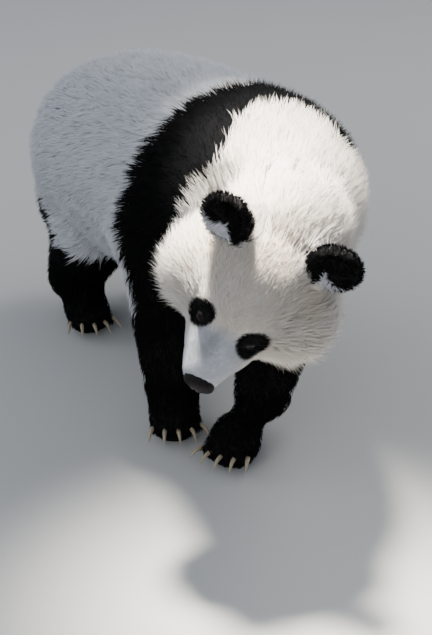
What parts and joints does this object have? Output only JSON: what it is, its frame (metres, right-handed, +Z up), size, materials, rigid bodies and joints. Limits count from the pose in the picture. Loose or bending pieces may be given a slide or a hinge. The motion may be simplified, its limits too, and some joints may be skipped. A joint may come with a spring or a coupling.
{
  "type": "giant panda",
  "caption": "Still, life-size giant panda on all fours, thick white and black coat, head lowered and turned to its right.",
  "frame": {"origin": "on the floor, below the middle of the animal's bounding box", "axes": "+Z up, +X to the animal's left, -Y the way its trunk heads, so the rump is at +Y; the head is turned to -X and down"},
  "size_m": [0.583, 1.438, 0.7526],
  "materials": {
    "white_coat": "long creamy white fur with a soft sheen, matt",
    "black_coat": "dense black fur, matt",
    "eye": "dark brown, wet gloss",
    "nose_pad": "black pebbled skin, slightly moist",
    "claw": "pale horn, satin"
  },
  "bodies": {
    "root": {"head": "white_coat", "neck": "white_coat", "trunk": "white_coat", "tail": "white_coat", "ear_left": "black_coat", "ear_right": "black_coat", "eye_left": "eye", "eye_right": "eye", "nose": "nose_pad", "fore_right_arm": "black_coat", "fore_right_forearm": "black_coat", "fore_right_paw": "black_coat", "fore_right_claw_1": "claw", "fore_right_claw_2": "claw", "fore_right_claw_3": "claw", "fore_right_claw_4": "claw", "fore_right_claw_5": "claw", "fore_left_arm": "black_coat", "fore_left_forearm": "black_coat", "fore_left_paw": "black_coat", "fore_left_claw_1": "claw", "fore_left_claw_2": "claw", "fore_left_claw_3": "claw", "fore_left_claw_4": "claw", "fore_left_claw_5": "claw", "hind_right_thigh": "white_coat", "hind_right_shank": "black_coat", "hind_right_paw": "black_coat", "hind_right_claw_1": "claw", "hind_right_claw_2": "claw", "hind_right_claw_3": "claw", "hind_right_claw_4": "claw", "hind_right_claw_5": "claw", "hind_left_thigh": "white_coat", "hind_left_shank": "black_coat", "hind_left_paw": "black_coat", "hind_left_claw_1": "claw", "hind_left_claw_2": "claw", "hind_left_claw_3": "claw", "hind_left_claw_4": "claw", "hind_left_claw_5": "claw"}
  },
  "joints": []
}
